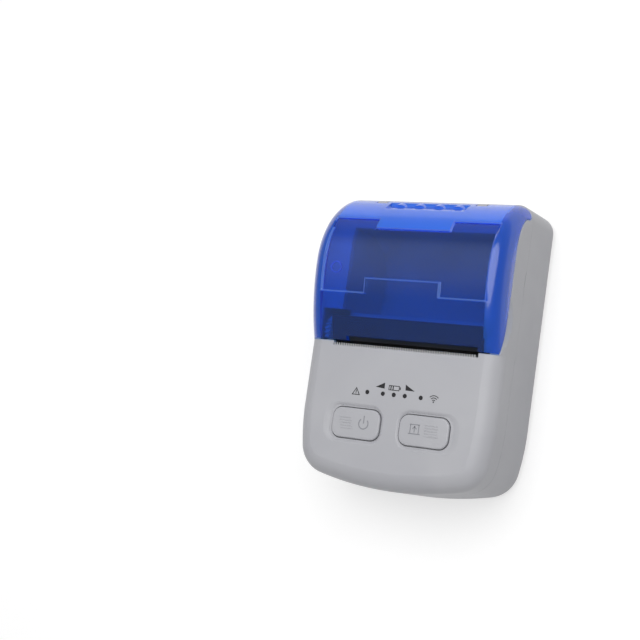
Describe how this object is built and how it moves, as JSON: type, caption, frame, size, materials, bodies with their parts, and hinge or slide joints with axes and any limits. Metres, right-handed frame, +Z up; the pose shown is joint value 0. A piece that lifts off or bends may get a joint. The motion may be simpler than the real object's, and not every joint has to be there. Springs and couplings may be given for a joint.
{
  "type": "portable receipt printer",
  "caption": "Pocket receipt printer: rounded grey two-shell case with two keys, lamps, a serrated paper slot and an arched translucent blue cover that hinges open over the paper bin.",
  "frame": {"origin": "on the table under the middle of the case", "axes": "+X across the width to the right of the keys, +Y along the length from the keys to the paper roll, +Z up out of the key panel"},
  "size_m": [0.08, 0.111, 0.0454],
  "materials": {
    "shell_grey": "satin",
    "cover_blue": "satin",
    "key_grey": "satin",
    "part_black": "matte",
    "bin_dark": "matte",
    "battery_wrap": "matte",
    "steel": "brushed",
    "motor_can": "brushed",
    "gold_contact": "satin",
    "gear_white": "matte",
    "ceramic_head": "matte",
    "alloy": "satin",
    "flex_amber": "matte",
    "connector_white": "matte",
    "board_green": "matte",
    "chip_black": "matte",
    "can_tin": "brushed",
    "lamp_white": "satin",
    "pipe_dark": "satin",
    "platen_rubber": "matte"
  },
  "bodies": {
    "housing": {"upper_housing": "shell_grey", "lower_housing": "shell_grey", "battery_pack": "battery_wrap", "battery_contacts": "gold_contact", "paper_bin": "bin_dark", "mechanism_frame": "part_black", "head_pivot_pin": "steel", "reduction_axle": "steel", "motor_body": "motor_can", "head_spring": "steel", "head_flex": "flex_amber", "flex_connector": "connector_white", "paper_sensor": "chip_black", "tear_bar": "steel", "main_board": "board_green", "board_chips": "chip_black", "radio_module": "can_tin", "board_screws": "steel", "lamps": "lamp_white", "light_pipes": "pipe_dark", "switch_bodies": "chip_black", "usb_port": "steel", "case_screws": "steel", "hinge_pin": "steel"},
    "cover": {"paper_cover": "cover_blue", "platen_bracket": "part_black", "platen_bushes": "connector_white"},
    "platen": {"platen_rubber": "platen_rubber", "platen_shaft": "steel", "platen_gear": "gear_white"},
    "reduction": {"reduction_gear": "gear_white"},
    "rotor": {"motor_shaft": "steel", "motor_pinion": "gear_white"},
    "head": {"print_head": "ceramic_head", "head_heatsink": "alloy"},
    "power_key": {"power_button": "key_grey", "power_plunger": "connector_white"},
    "feed_key": {"feed_button": "key_grey", "feed_plunger": "connector_white"},
    "battery_door": {"battery_cover": "shell_grey"}
  },
  "joints": [
    {"name": "cover_hinge", "type": "hinge", "parent": "housing", "child": "cover", "pos_m": [0, 0.05207, 0.0279], "axis": [-1, 0, 0], "range_deg": [0, 90]},
    {"name": "platen_spin", "type": "hinge", "parent": "cover", "child": "platen", "pos_m": [0, 0.0024, 0.032], "axis": [1, 0, 0], "continuous": true},
    {"name": "reduction_spin", "type": "hinge", "parent": "housing", "child": "reduction", "pos_m": [-0.033, 0.00166, 0.02303], "axis": [1, 0, 0], "continuous": true},
    {"name": "motor_spin", "type": "hinge", "parent": "housing", "child": "rotor", "pos_m": [-0.033, -0.00673, 0.01671], "axis": [1, 0, 0], "continuous": true},
    {"name": "head_pivot", "type": "hinge", "parent": "housing", "child": "head", "pos_m": [0, -0.0046, 0.027], "axis": [1, 0, 0], "range_deg": [0, 2.5], "stiffness_Nm_per_rad": 0.5, "springref_deg": -5.73, "deforming": ["head_spring"]},
    {"name": "power_press", "type": "slide", "parent": "housing", "child": "power_key", "axis": [0, 0, -1], "range_m": [0, 0.0005], "stiffness_N_per_m": 600, "springref_m": -0.0005},
    {"name": "feed_press", "type": "slide", "parent": "housing", "child": "feed_key", "axis": [0, 0, -1], "range_m": [0, 0.0005], "stiffness_N_per_m": 600, "springref_m": -0.0005},
    {"name": "battery_door_slide", "type": "slide", "parent": "housing", "child": "battery_door", "axis": [0, -1, 0], "range_m": [0, 0.008]}
  ],
  "couplings": [
    {"joint": "reduction_spin", "follows": "platen_spin", "ratio": -1.25},
    {"joint": "motor_spin", "follows": "platen_spin", "ratio": 3.125}
  ]
}
